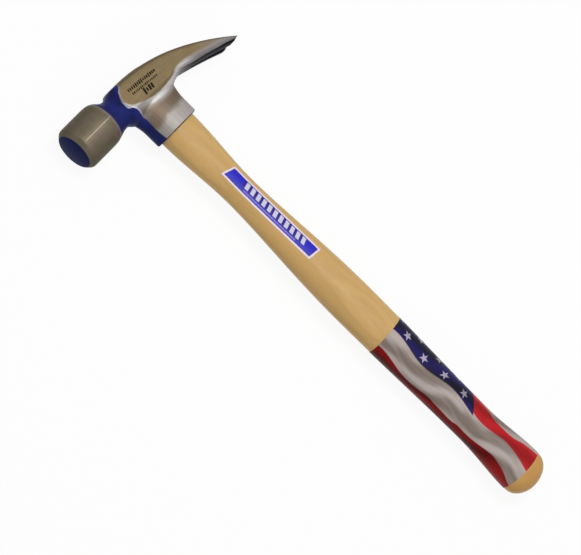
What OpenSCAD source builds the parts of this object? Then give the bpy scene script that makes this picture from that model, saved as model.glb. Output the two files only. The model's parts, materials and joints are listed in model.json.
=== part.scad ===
// Framing hammer with a straight rip claw, a wooden handle and a printed grip film.
// It lies on its side: X runs from the striking face to the claws, Y from the butt to the head, Z up.

/* [Bell] */
// Diameter of the bell
bell_d = 33.8; // [31:0.1:38]
// Diameter of the striking face inside its chamfer
face_d = 27.6; // [22:0.1:29]
// Length of the face chamfer along the bell
face_chamfer = 3.7; // [2:0.1:6]
// Height of the crown on the striking face
face_crown = 1; // [0.4:0.1:2]
// Distance from the handle's centre line to the rim of the striking face
face_reach = 67.7; // [62:0.1:80]
// Length of the bell from the rim of the face to its rear rim
bell_length = 31.6; // [24:0.1:34]
// Diameter of the bell's rear rim
heel_d = 31.8; // [29:0.1:34]
// Length over which the bell rounds in to its rear rim
heel_round = 6; // [3:0.1:8]

/* [Neck] */
// Diameter of the neck at its waist
neck_d = 24.4; // [20:0.1:28]
// Distance from the handle's centre line to the neck's waist
neck_reach = 26; // [24:0.1:30]
// Drop of the waist's centre below the centre of the bell
neck_drop = 1.8; // [0:0.1:3]

/* [Cheeks] */
// Width of the head between its two ground flats
cheek_width = 29.6; // [27:0.1:32]
// Width that the forging swells to before the flats are ground
forged_width = 32; // [31.8:0.1:35]
// Height of the head's top above the centre of the bell
head_rise = 12.6; // [11:0.1:15]
// Depth of the cheeks below the centre of the bell
cheek_depth = 18; // [15:0.1:20]
// Distance from the handle's centre line to where the cheeks reach their full width
cheek_reach = 18; // [17:0.1:20]

/* [Claws] */
// Distance from the handle's centre line to the claw tips
claw_reach = 77.8; // [68:0.1:90]
// Fall of the claw tips below the head's top
claw_fall = 35.8; // [20:0.1:42]
// Depth below the centre of the bell at which the claw leaves the eye
claw_root_depth = 13.3; // [12:0.1:15]
// Distance from the handle's centre line to where the claw leaves the eye
claw_root_reach = 28; // [26:0.1:32]
// Thickness of the claw tips before their ends are bevelled
claw_tip = 3.4; // [2:0.1:4]
// Height of the blunt edge that the bevel leaves at the claw tips
tip_land = 0.3; // [0.2:0.1:1]
// Angle of the bevel under the claw tips
tip_bevel = 14; // [10:1:40]
// Distance from the handle's centre line to the root of the nail slot
slot_root = 41.5; // [36:0.1:50]
// Width of the nail slot at its root
slot_root_width = 2; // [1:0.1:3]
// Width of the nail slot between the claw tips
slot_tip_width = 11; // [9:0.1:14]
// Extra width of the nail slot on the top side, from its bevelled edges
slot_bevel = 2; // [0:0.1:3]

/* [Eye] */
// Depth of the collar's lower rim below the centre of the bell
collar_depth = 39.2; // [36:0.1:44]
// Length of the collar along the head
collar_long = 37.6; // [35:0.1:42]
// Width of the collar across the head
collar_wide = 27; // [25:0.1:29]
// Extra length of the collar where it flows into the neck and the claw
collar_flare = 7.6; // [4:0.1:10]
// Depth below the centre of the bell at which that flow ends
flow_depth = 28; // [24:0.1:32]
// How much narrower the collar is where it comes out under the cheeks
collar_tuck = 1.8; // [0:0.1:3]
// Rounding of the collar's lower rim
rim_round = 0.9; // [0.4:0.1:1.5]
// Length of the eye's lower mouth
mouth_long = 29.2; // [27.5:0.1:29.6]
// Width of the eye's lower mouth
mouth_wide = 21.6; // [20:0.1:22.2]
// Length of the eye's throat, its narrowest place
throat_long = 26.4; // [24:0.1:27.2]
// Width of the eye's throat
throat_wide = 18.8; // [16:0.1:20]
// Length of the eye at the top of the head
top_long = 28.8; // [28:0.1:31]
// Width of the eye at the top of the head
top_wide = 20.8; // [20:0.1:22]
// Depth of the throat below the centre of the bell
throat_depth = 10; // [5:0.1:15]

/* [Handle] */
// Length of the hammer from the top of the head to the butt
overall_length = 407; // [402:0.5:430]
// Handle length across its section under the collar
seat_long = 30.6; // [30:0.1:34]
// Handle length across its section at the waist
waist_long = 24.2; // [23:0.1:28]
// Handle length across its section at the belly
belly_long = 33.1; // [32:0.1:38]
// Handle length across its section above the butt
grip_long = 29.4; // [28:0.1:34]
// Handle length across its section at the butt
butt_long = 35.2; // [34:0.1:40]
// Distance from the head's top to the waist
waist_place = 114.5; // [105:0.5:125]
// Distance from the head's top to the belly
belly_place = 226; // [215:0.5:240]
// Distance from the head's top to the slimmest place of the grip
grip_place = 345; // [330:0.5:350]
// Distance from the head's top to where the butt starts to round
butt_place = 394; // [388:0.5:398]
// Share of the section's length that its width has
width_share = 0.76; // [0.7:0.01:0.85]

/* [Wedges] */
// Depth of the wooden wedge in the handle
wood_wedge_depth = 32; // [25:0.5:40]
// Thickness of the wooden wedge at the top
wood_wedge_top = 3.2; // [2.4:0.1:4]
// Thickness of the wooden wedge at its lower edge
wood_wedge_foot = 0.8; // [0.5:0.1:1.2]
// Depth of the steel wedges in the handle
steel_wedge_depth = 18; // [12:0.5:22]
// Width of the steel wedges across the handle
steel_wedge_wide = 13; // [9:0.5:15]
// Thickness of the steel wedges at the top
steel_wedge_top = 2.2; // [1.6:0.1:3]
// Thickness of the steel wedges at their lower edge
steel_wedge_foot = 0.6; // [0.4:0.1:1]
// Distance of the steel wedges from the handle's centre line
steel_wedge_place = 6.5; // [4.5:0.1:8.5]

/* [Films] */
// Length of the label along the handle
label_long = 84.2; // [70:0.5:100]
// Width of the label across the handle
label_wide = 11.8; // [9:0.1:14]
// Distance from the head's top to the label
label_place = 96.7; // [85:0.5:110]
// Distance of the label's middle from the handle's centre line, towards the claws
label_shift = 0.8; // [-1:0.1:2]
// Fall of the label's upper edge across its width, towards the claws
label_slant = 3.7; // [0:0.1:5]
// Fall of the label's lower edge across its width, towards the claws
label_foot_slant = 1.5; // [0:0.1:5]
// Thickness of the label
label_film = 0.2; // [0.15:0.01:0.4]
// Distance from the head's top to the upper edge of the grip film
grip_film_place = 258; // [245:0.5:270]
// Length of the grip film along the handle
grip_film_long = 134; // [120:0.5:136]
// Thickness of the grip film
grip_film_skin = 0.3; // [0.2:0.01:0.5]

/* [Fits] */
// Clearance between the eye and the handle's tenon
eye_fit = 0.05; // [0.02:0.01:0.15]
// Clearance between the wedges and their slots
wedge_fit = 0.03; // [0.02:0.01:0.1]
// Clearance between the handle and the films on it
film_fit = 0.05; // [0.04:0.01:0.1]

/* [Hidden] */

// Sides of the sections along the head and of those along the handle
head_sides = 40;
oval_sides = 36;
// Part of a step by which the sections along the handle are turned
half_step = 0.5;
// How far a cut runs past the surface that it opens
overrun = 5;
// Powers that shape the sections: two gives an ellipse, more gives a squarer outline
round_power = 2;
oval_power = 2.2;
cheek_power = 2.6;
claw_power = 4;
square_power = 5;
// Powers that shape the lines of the claw's top and underside
claw_top_power = 2.12;
claw_under_power = 1.2;
// Power that makes the handle widen early below its waist
waist_lead = 0.85;
// Share of the cheeks' height at which they are widest, and that of the neck and the claws
cheek_middle_share = 0.37;
even_share = 0.5;
// Rings of the crown, as shares of the face's radius
crown_shares = [0.12, 0.4, 0.7, 0.9];
// Rings of the chamfer, as shares of its length and of its height
chamfer_shares = [[0, 0], [0.5, 0.56], [0.85, 0.9], [1, 0.97], [1.3, 1]];
// Rings of the bell's heel, as shares of its length and of its height
heel_shares = [[0, 0], [0.4, 0.12], [0.75, 0.45], [1, 1]];
// Rings of the shoulder between the bell and the neck, as shares of its length and of its height
shoulder_shares = [[0.14, 0.13], [0.28, 0.34], [0.42, 0.57], [0.58, 0.77], [0.78, 0.93], [1, 1]];
// Rings from the waist of the neck to the full cheeks, as shares of the way
flare_shares = [0.15, 0.3, 0.42, 0.54, 0.66, 0.78, 0.9];
// Rings of the nail slot's root, as shares of its half width there
slot_root_shares = [[0, 0.1], [0.25, 0.66], [0.6, 0.92], [1, 1]];
// Counts of the rings along each stretch
cheek_rings = 8;
claw_rings = 16;
flow_rings = 6;
rim_rings = 3;
// Counts of the rings along the handle, from the tenon down to the butt
seat_rings = 5;
label_rings = 9;
belly_rings = 8;
grip_rings = 13;
dome_rings = 6;
// Points across the label
label_points = 8;

bell_r = bell_d / 2;
heel_r = heel_d / 2;
face_r = face_d / 2;
neck_r = neck_d / 2;
bell_rear = face_reach - bell_length;
face_front = face_reach + face_crown;
butt_y = head_rise - overall_length;
crest = max(bell_r, head_rise);
claw_end_depth = claw_fall - head_rise + claw_tip;

// Value part of the way from one to another, and one that also starts and ends level
function between(from, to, t) = from + (to - from) * t;
function ease(from, to, t) = between(from, to, (1 - cos(180 * t)) / 2);
// Share of the way from one place to another, held within its ends
function progress(from, to, x) = min(1, max(0, (x - from) / (to - from)));
// Places from one end towards the other in equal steps, without the last one
function steps(from, to, count) = [for (i = [0 : count - 1]) between(from, to, i / count)];
// Coordinate on a unit superellipse
function swell(c, power) = sign(c) * pow(abs(c), 2 / power);

// Height of the head's top line and of its underside at a place along the head
function top_line(x) = head_rise - claw_fall * pow(progress(-cheek_reach, claw_reach, x), claw_top_power);
function claw_underside(x) =
    -between(claw_root_depth, claw_end_depth, pow(progress(claw_root_reach, claw_reach, x), claw_under_power));
function underside(x) = ease(-cheek_depth, claw_underside(x), progress(throat_long / 2, claw_root_reach, x));

// Ring square to the head's length, from [x, top, middle, bottom, half width, top power, bottom power]
function head_ring(s) = [
    for (k = [0 : head_sides - 1])
        let (
            a = 360 * k / head_sides,
            upper = cos(a) >= 0,
            power = upper ? s[5] : s[6],
            reach = upper ? s[1] - s[2] : s[2] - s[3]
        )
            [s[0], s[2] + reach * swell(cos(a), power), -s[4] * swell(sin(a), power)]
];
// Ring square to the handle, from [y, half length, half width]
function oval_ring(s, grow = 0) = [
    for (k = [0 : oval_sides - 1])
        let (a = 360 * (k + half_step) / oval_sides)
            [(s[1] + grow) * swell(sin(a), oval_power), s[0], (s[2] + grow) * swell(cos(a), oval_power)]
];

// Closed solid through rings of points that all have the same count
module skin(rings) {
    sides = len(rings[0]);
    last = len(rings) - 1;
    walls = [
        for (i = [0 : last - 1])
            for (k = [0 : sides - 1])
                let (a = i * sides + k, b = i * sides + (k + 1) % sides)
                    for (face = [[a, b, b + sides], [a, b + sides, a + sides]]) face
    ];
    caps = [[for (k = [0 : sides - 1]) sides - 1 - k], [for (k = [0 : sides - 1]) last * sides + k]];
    polyhedron(points = [for (ring = rings) each ring], faces = concat(walls, caps), convexity = 8);
}
// Closed tube through rings of points, the last of which meets the first
module sleeve(rings) {
    sides = len(rings[0]);
    count = len(rings);
    walls = [
        for (i = [0 : count - 1])
            for (k = [0 : sides - 1])
                let (a = i * sides, b = (i + 1) % count * sides, next = (k + 1) % sides)
                    for (face = [[a + k, a + next, b + next], [a + k, b + next, b + k]]) face
    ];
    polyhedron(points = [for (ring = rings) each ring], faces = walls, convexity = 8);
}

// Places the part with its lowest point at zero and its outline centred on the origin
module lay() {
    translate([(face_front - claw_reach) / 2, -(crest + butt_y) / 2, bell_r]) children();
}

// Sections of the bell, which are round
function round_station(x, r, drop = 0) = [x, r - drop, -drop, -r - drop, r, round_power, round_power];
bell_stations = concat(
    [for (s = crown_shares) round_station(-face_reach - face_crown * (1 - s * s), face_r * s)],
    [for (s = chamfer_shares) round_station(face_chamfer * s[0] - face_reach, between(face_r, bell_r, s[1]))],
    [for (s = heel_shares) round_station(-bell_rear - heel_round * (1 - s[0]), between(bell_r, heel_r, s[1]))]
);
// Sections of the shoulder down to the waist of the neck
shoulder_stations = [
    for (s = shoulder_shares)
        round_station(between(-bell_rear, -neck_reach, s[0]), between(heel_r, neck_r, s[1]), neck_drop * s[1])
];
// Sections from the waist of the neck up to the full cheeks
flare_stations = [
    for (t = flare_shares)
        let (
            top = ease(neck_r - neck_drop, head_rise, t),
            bottom = ease(-neck_r - neck_drop, -cheek_depth, t),
            middle = between(top, bottom, ease(even_share, cheek_middle_share, t)),
            half = ease(neck_r, forged_width / 2, t),
            x = between(-neck_reach, -cheek_reach, t)
        )
            [x, top, middle, bottom, half, ease(round_power, square_power, t * t * t), ease(round_power, cheek_power, t)]
];
// Sections of the cheeks and the claws
body_places = concat(
    steps(-cheek_reach, claw_root_reach, cheek_rings),
    steps(claw_root_reach, claw_reach, claw_rings),
    [claw_reach]
);
body_stations = [
    for (x = body_places)
        let (
            t = progress(throat_long / 2, slot_root, x),
            top = top_line(x),
            bottom = underside(x),
            middle = between(top, bottom, ease(cheek_middle_share, even_share, t))
        )
            [x, top, middle, bottom, forged_width / 2, square_power, ease(cheek_power, claw_power, t)]
];
// Sections of the collar, which flows out into the neck and the claw at its upper end
flow_top = rim_round - claw_root_depth;
collar_stations = concat(
    [
        for (t = steps(0, 1, flow_rings))
            [
                between(flow_top, -flow_depth, t),
                (collar_long + collar_flare * pow(1 - t, 2)) / 2,
                (collar_wide - collar_tuck * pow(1 - t, 2)) / 2
            ]
    ],
    [
        for (i = [0 : rim_rings])
            let (a = 90 * i / rim_rings, inset = rim_round * (1 - cos(a)))
                [rim_round * (1 - sin(a)) - collar_depth, collar_long / 2 - inset, collar_wide / 2 - inset]
    ]
);

// Sections of the eye, which narrows to its throat and widens again to the top
eye_stations = [
    [head_rise + overrun, top_long / 2, top_wide / 2],
    [head_rise, top_long / 2, top_wide / 2],
    [-throat_depth, throat_long / 2, throat_wide / 2],
    [-collar_depth, mouth_long / 2, mouth_wide / 2]
];
eye_cut = concat(eye_stations, [[-collar_depth - overrun, mouth_long / 2, mouth_wide / 2]]);

// Places along the handle, measured like the head's heights
seat_y = -collar_depth;
waist_y = head_rise - waist_place;
belly_y = head_rise - belly_place;
grip_y = head_rise - grip_place;
dome_y = head_rise - butt_place;
label_top = head_rise - label_place;
label_foot = label_top - label_long;
film_top = head_rise - grip_film_place;
film_foot = film_top - grip_film_long;
// Half the length of the handle's section at a place along it
function handle_half(y) =
    y > waist_y ? ease(seat_long, waist_long, progress(seat_y, waist_y, y)) / 2 :
    y > belly_y ? ease(waist_long, belly_long, pow(progress(waist_y, belly_y, y), waist_lead)) / 2 :
    y > grip_y ? ease(belly_long, grip_long, progress(belly_y, grip_y, y)) / 2 :
    ease(grip_long, butt_long, progress(grip_y, dome_y, y)) / 2;
function handle_station(y) = [y, handle_half(y), handle_half(y) * width_share];
label_stations = [for (y = concat(steps(label_top, label_foot, label_rings), [label_foot])) handle_station(y)];
film_stations = [for (y = concat(steps(film_top, film_foot, grip_rings), [film_foot])) handle_station(y)];
upper_stations = [for (y = steps(seat_y, label_top, seat_rings)) handle_station(y)];
belly_stations = [for (i = [1 : belly_rings - 1]) handle_station(between(label_foot, film_top, i / belly_rings))];
dome_stations = [
    for (i = [0 : dome_rings])
        let (a = 85 * i / dome_rings)
            [between(dome_y, butt_y, sin(a)), butt_long / 2 * cos(a), butt_long / 2 * cos(a) * width_share]
];
// Sections of the tenon, which fills the eye
tenon_stations = [for (s = eye_stations) [s[0], s[1] - eye_fit, s[2] - eye_fit]];

// Rings of the head, from the striking face to the claw tips
module forging() {
    stations = concat(bell_stations, shoulder_stations, flare_stations, body_stations);
    skin([for (s = stations) head_ring(s)]);
}
module collar() {
    skin([for (s = collar_stations) oval_ring(s)]);
}
module eye() {
    skin([for (s = eye_cut) oval_ring(s)]);
}
// Space outside the two ground flats of the cheeks and the claws
module ground_away() {
    for (side = [-1, 1])
        translate([-neck_reach, -bell_d - claw_fall, side > 0 ? cheek_width / 2 : -cheek_width / 2 - overrun])
            cube([neck_reach + claw_reach + overrun, 2 * (bell_d + claw_fall), overrun]);
}
// Nail slot between the claws, wider on the top side
module nail_slot() {
    function slot_ring(x, half) = [
        [x, claw_underside(x) - overrun, half],
        [x, top_line(x) + overrun, half + slot_bevel / 2],
        [x, top_line(x) + overrun, -half - slot_bevel / 2],
        [x, claw_underside(x) - overrun, -half]
    ];
    root_half = slot_root_width / 2;
    slot_slope = (slot_tip_width / 2 - root_half) / (claw_reach - slot_root);
    skin(concat(
        [for (s = slot_root_shares) slot_ring(slot_root + root_half * s[0], root_half * s[1])],
        [slot_ring(claw_reach + overrun, slot_tip_width / 2 + overrun * slot_slope)]
    ));
}
// Bevel under the claw tips
module tip_cut() {
    translate([claw_reach, head_rise - claw_fall - tip_land, -forged_width])
        rotate([0, 0, tip_bevel - 180])
            translate([-overrun, 0, 0])
                cube([claw_end_depth, claw_end_depth, 2 * forged_width]);
}
// Space above the line of the head's top, which trims what fills the eye
module above_head() {
    places = [for (s = body_stations) if (s[0] < slot_root) s[0]];
    outline = concat(
        [for (x = places) [x, top_line(x)]],
        [[places[len(places) - 1], head_rise + 2 * overrun], [-cheek_reach, head_rise + 2 * overrun]]
    );
    translate([0, 0, -forged_width / 2]) linear_extrude(height = forged_width) polygon(outline);
}
// Wedge with a flat top above the head and a thin foot, in the plane of its thickness
module wedge_outline(top, foot, depth, fit) {
    slope = (top - foot) / depth;
    head_half = (top + slope * overrun) / 2 + fit;
    foot_half = foot / 2 + fit;
    polygon([
        [head_rise + overrun, -head_half],
        [head_rise - depth - fit, -foot_half],
        [head_rise - depth - fit, foot_half],
        [head_rise + overrun, head_half]
    ]);
}
module wood_wedge_form(fit = 0) {
    rotate([90, 0, 90])
        translate([0, 0, -top_long / 2 - overrun])
            linear_extrude(height = top_long + 2 * overrun)
                wedge_outline(wood_wedge_top, wood_wedge_foot, wood_wedge_depth, fit);
}
module steel_wedge_form(side, fit = 0) {
    translate([side * steel_wedge_place, 0, -steel_wedge_wide / 2 - fit])
        linear_extrude(height = steel_wedge_wide + 2 * fit)
            mirror([1, -1])
                wedge_outline(steel_wedge_top, steel_wedge_foot, steel_wedge_depth, fit);
}

// Forged steel head: bell, neck, cheeks, collar round the eye and the two claws
module head() {
    color([0.5, 0.47, 0.42])
        lay()
            difference() {
                union() {
                    forging();
                    collar();
                }
                ground_away();
                eye();
                nail_slot();
                tip_cut();
            }
}
// Wooden handle, with the tenon that fills the eye
module handle() {
    color([0.8, 0.65, 0.42])
        lay()
            difference() {
                skin([for (s = concat(
                    tenon_stations, upper_stations, label_stations, belly_stations, film_stations, dome_stations
                )) oval_ring(s)]);
                above_head();
                wood_wedge_form(wedge_fit);
                steel_wedge_form(-1, wedge_fit);
                steel_wedge_form(1, wedge_fit);
            }
}
// Wooden wedge that spreads the tenon along its whole length
module wood_wedge() {
    color([0.72, 0.55, 0.33])
        lay()
            difference() {
                intersection() {
                    wood_wedge_form();
                    skin([for (s = tenon_stations) oval_ring(s)]);
                }
                above_head();
                steel_wedge_form(-1, wedge_fit);
                steel_wedge_form(1, wedge_fit);
            }
}
// Steel wedge driven across the wooden one
module steel_wedge(side) {
    color([0.55, 0.56, 0.58])
        lay()
            difference() {
                steel_wedge_form(side);
                above_head();
            }
}
module front_steel_wedge() {
    steel_wedge(-1);
}
module rear_steel_wedge() {
    steel_wedge(1);
}
// Printed label on the upper side of the handle
module handle_label() {
    function label_arc(place, grow) = [
        for (i = [0 : label_points])
            let (
                side = i / label_points - even_share,
                slant = between(label_foot_slant, label_slant, progress(label_foot, label_top, place)),
                x = label_shift + label_wide * side,
                y = place - slant * side,
                half = handle_half(y),
                share = pow(abs(x) / (half + grow), oval_power)
            )
                [x, y, (half * width_share + grow) * pow(1 - share, 1 / oval_power)]
    ];
    function turned(list) = [for (i = [len(list) - 1 : -1 : 0]) list[i]];
    color([0.2, 0.2, 0.72])
        lay()
            skin([
                for (s = label_stations)
                    concat(label_arc(s[0], film_fit + label_film), turned(label_arc(s[0], film_fit)))
            ]);
}
// Printed film shrunk round the grip
module grip_film() {
    color([0.25, 0.22, 0.42])
        lay()
            sleeve(concat(
                [for (s = film_stations) oval_ring(s, film_fit + grip_film_skin)],
                [for (i = [len(film_stations) - 1 : -1 : 0]) oval_ring(film_stations[i], film_fit)]
            ));
}

head();
handle();
wood_wedge();
front_steel_wedge();
rear_steel_wedge();
handle_label();
grip_film();
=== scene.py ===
"""Looks of a framing hammer with a straight rip claw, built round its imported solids.

Sizes are millimetres in the hammer's own frame: the bell's axis is y = 0, the handle's centre
line is x = 0 and the middle plane of the head is z = 0. X points to the claws, Y from the butt
to the head and Z up, away from the floor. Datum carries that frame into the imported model's.
"""

from __future__ import annotations

import json
import logging
import math
from contextlib import contextmanager
from dataclasses import dataclass
from enum import Enum
from typing import Iterator, Mapping, NamedTuple, Sequence, Union

import bmesh
import bpy
from mathutils import Matrix, Vector

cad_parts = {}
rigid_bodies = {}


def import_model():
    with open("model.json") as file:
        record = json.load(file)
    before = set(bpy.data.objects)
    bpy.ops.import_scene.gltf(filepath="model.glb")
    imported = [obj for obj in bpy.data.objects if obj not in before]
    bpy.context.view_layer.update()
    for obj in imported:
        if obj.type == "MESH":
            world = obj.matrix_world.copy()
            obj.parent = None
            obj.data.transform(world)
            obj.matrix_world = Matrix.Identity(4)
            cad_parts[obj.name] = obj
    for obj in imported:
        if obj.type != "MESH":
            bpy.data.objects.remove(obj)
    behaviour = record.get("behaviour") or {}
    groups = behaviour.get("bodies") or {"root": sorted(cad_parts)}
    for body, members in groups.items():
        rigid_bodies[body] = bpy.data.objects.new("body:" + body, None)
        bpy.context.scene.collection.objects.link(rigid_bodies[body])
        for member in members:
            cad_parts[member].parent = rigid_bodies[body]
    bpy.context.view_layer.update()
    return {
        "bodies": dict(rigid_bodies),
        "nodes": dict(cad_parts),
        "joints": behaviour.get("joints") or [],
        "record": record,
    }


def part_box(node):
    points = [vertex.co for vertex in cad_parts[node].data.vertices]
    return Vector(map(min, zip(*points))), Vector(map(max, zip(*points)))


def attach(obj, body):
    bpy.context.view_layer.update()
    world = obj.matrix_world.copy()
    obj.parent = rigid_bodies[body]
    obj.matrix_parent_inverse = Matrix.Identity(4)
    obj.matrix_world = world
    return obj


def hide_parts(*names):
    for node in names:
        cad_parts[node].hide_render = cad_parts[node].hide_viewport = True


LOG = logging.getLogger("hammer")
MM = 0.001
TURN = 2 * math.pi

Color = tuple[float, float, float, float]
Span = tuple[float, float]
Points = Sequence[Span]
Triple = tuple[float, float, float]


def paint(red: int, green: int, blue: int) -> Color:
    """Give the linear colour of a screen colour.

    Args:
        red: Red, from 0 to 255.
        green: Green, from 0 to 255.
        blue: Blue, from 0 to 255.

    Returns:
        The linear colour, with full alpha.
    """

    def linear(level: int) -> float:
        """Take one channel off its screen curve."""
        share = level / 255
        return share / 12.92 if share <= 0.04045 else ((share + 0.055) / 1.055) ** 2.4

    return (linear(red), linear(green), linear(blue), 1.0)


class Grain(NamedTuple):
    """A noise over a surface: swells to the millimetre along x, y and z, detail and roughness."""

    x: float
    y: float
    z: float
    detail: float = 2.0
    roughness: float = 0.5


class Wash(NamedTuple):
    """A colour that covers another one as a measure goes from start to end, by a share at most."""

    color: Color
    start: float
    end: float
    share: float = 1.0


def linked(name: str, data: bpy.types.ID) -> bpy.types.Object:
    """Make an object of that name and put it into the scene."""
    holder = bpy.data.objects.new(name, data)
    bpy.context.scene.collection.objects.link(holder)
    return holder


@contextmanager
def edited(mesh: bpy.types.Mesh) -> Iterator[bmesh.types.BMesh]:
    """Open a mesh for edits, and write them back when they are done."""
    work = bmesh.new()
    work.from_mesh(mesh)
    yield work
    work.to_mesh(mesh)
    work.free()


@dataclass(frozen=True)
class Datum:
    """Place of the hammer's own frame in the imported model, in metres."""

    x: float
    y: float
    z: float

    @classmethod
    def from_frame(cls) -> "Datum":
        """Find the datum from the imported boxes.

        Returns:
            The datum: the handle is centred on x, and the bell is the head's highest round.
        """
        low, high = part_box("head")
        handle_low, handle_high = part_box("handle")
        bell_radius = (high.z - low.z) / 2
        return cls((handle_low.x + handle_high.x) / 2, high.y - bell_radius, (low.z + high.z) / 2)

    def at(self, x: float, y: float, z: float) -> Vector:
        """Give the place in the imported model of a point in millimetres."""
        return Vector((self.x + x * MM, self.y + y * MM, self.z + z * MM))


class Wire:
    """The output of a node, ready to be fed to another one."""

    def __init__(self, plan: "Plan", socket: bpy.types.NodeSocket) -> None:
        """Keep the socket and the plan that it belongs to."""
        self.plan = plan
        self.socket = socket


class Term(Wire):
    """A number on a wire, with arithmetic that adds Math nodes."""

    def __add__(self, other: "Number") -> "Term":
        """Add."""
        return self.plan.math("ADD", self, other)

    __radd__ = __add__

    def __sub__(self, other: "Number") -> "Term":
        """Subtract."""
        return self.plan.math("SUBTRACT", self, other)

    def __rsub__(self, other: "Number") -> "Term":
        """Subtract from a number."""
        return self.plan.math("SUBTRACT", other, self)

    def __mul__(self, other: "Number") -> "Term":
        """Multiply."""
        return self.plan.math("MULTIPLY", self, other)

    __rmul__ = __mul__

    def __truediv__(self, other: "Number") -> "Term":
        """Divide."""
        return self.plan.math("DIVIDE", self, other)

    def __rtruediv__(self, other: "Number") -> "Term":
        """Divide a number by this one."""
        return self.plan.math("DIVIDE", other, self)

    def __pow__(self, other: "Number") -> "Term":
        """Raise to a power."""
        return self.plan.math("POWER", self, other)

    def __neg__(self) -> "Term":
        """Turn the sign."""
        return self.plan.math("MULTIPLY", self, -1.0)

    def __abs__(self) -> "Term":
        """Drop the sign."""
        return self.plan.math("ABSOLUTE", self)

    def __mod__(self, other: "Number") -> "Term":
        """Give the rest above the last whole multiple."""
        return self.plan.math("FLOORED_MODULO", self, other)


Number = Union[Term, float]


class Plan:
    """A node tree, with one method that adds any node."""

    def __init__(self, tree: bpy.types.NodeTree) -> None:
        """Take the tree that the nodes go into."""
        self.tree = tree

    def node(
        self,
        kind: str,
        settings: Mapping[str, object] | None = None,
        sockets: Mapping[int | str, object] | None = None,
    ) -> bpy.types.Node:
        """Add a node.

        Args:
            kind: The node's type.
            settings: Its settings, set first; points fill a curve.
            sockets: A value or a wire for each input, by name or number.

        Returns:
            The node.
        """
        node = self.tree.nodes.new(kind)
        for name, value in (settings or {}).items():
            if name == "points":
                self._set_points(node, value)
            else:
                setattr(node, name, value)
        for key, value in (sockets or {}).items():
            if isinstance(value, Wire):
                self.tree.links.new(value.socket, node.inputs[key])
            else:
                node.inputs[key].default_value = value
        return node

    @staticmethod
    def _set_points(node: bpy.types.Node, points: Points) -> None:
        """Fill a float curve with points, both ways from 0 to 1."""
        curve = node.mapping.curves[0]
        while len(curve.points) < len(points):
            curve.points.new(0.5, 0.5)
        for point, place in zip(curve.points, points):
            point.location = place
        node.mapping.update()

    def math(self, operation: str, *values: Number) -> Term:
        """Add a Math node on numbers or terms."""
        node = self.node("ShaderNodeMath", {"operation": operation}, dict(enumerate(values)))
        return Term(self, node.outputs[0])

    def smooth(self, value: Term, low: Number, high: Number) -> Term:
        """Rise smoothly from 0 to 1 as the value goes from low to high."""
        node = self.node(
            "ShaderNodeMapRange",
            {"interpolation_type": "SMOOTHSTEP"},
            {"Value": value, "From Min": low, "From Max": high},
        )
        return Term(self, node.outputs[0])

    def least(self, *values: Number) -> Term:
        """Give the least of some values."""
        result = values[0]
        for value in values[1:]:
            result = self.math("MINIMUM", result, value)
        return result

    def most(self, *values: Number) -> Term:
        """Give the most of some values."""
        result = values[0]
        for value in values[1:]:
            result = self.math("MAXIMUM", result, value)
        return result

    def curve(self, value: Term, points: Points) -> Term:
        """Read a value off a smooth line through points.

        Args:
            value: Where the line is read.
            points: Places and the line's values there, in rising order of place.

        Returns:
            The line's value.
        """
        low, high = points[0][0], points[-1][0]
        floor = min(level for _, level in points)
        rise = max(level for _, level in points) - floor
        shares = [((place - low) / (high - low), (level - floor) / rise) for place, level in points]
        place = (value - low) / (high - low)
        node = self.node("ShaderNodeFloatCurve", {"points": shares}, {"Value": place})
        return Term(self, node.outputs[0]) * rise + floor

    def mix(self, factor: Number, first: object, second: object) -> Wire:
        """Mix two colours, each a wire or a colour, by a factor."""
        node = self.node(
            "ShaderNodeMix",
            {"data_type": "RGBA", "blend_type": "MIX", "clamp_factor": True},
            {0: factor, 6: first, 7: second},
        )
        return Wire(self, node.outputs[2])

    def vector(self, x: Number, y: Number, z: Number) -> Wire:
        """Join three numbers to a vector."""
        return Wire(self, self.node("ShaderNodeCombineXYZ", None, {0: x, 1: y, 2: z}).outputs[0])

    def parts(self, vector: Wire) -> tuple[Term, Term, Term]:
        """Split a vector into its three numbers."""
        node = self.node("ShaderNodeSeparateXYZ", None, {0: vector})
        return tuple(Term(self, output) for output in node.outputs)

    def noise(self, vector: Wire, detail: float = 2.0, roughness: float = 0.5) -> Term:
        """Give noise round 0.5 at a place, with swells about one step wide."""
        sockets = {"Vector": vector, "Scale": 1.0, "Detail": detail, "Roughness": roughness}
        return Term(self, self.node("ShaderNodeTexNoise", None, sockets).outputs[0])


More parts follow.
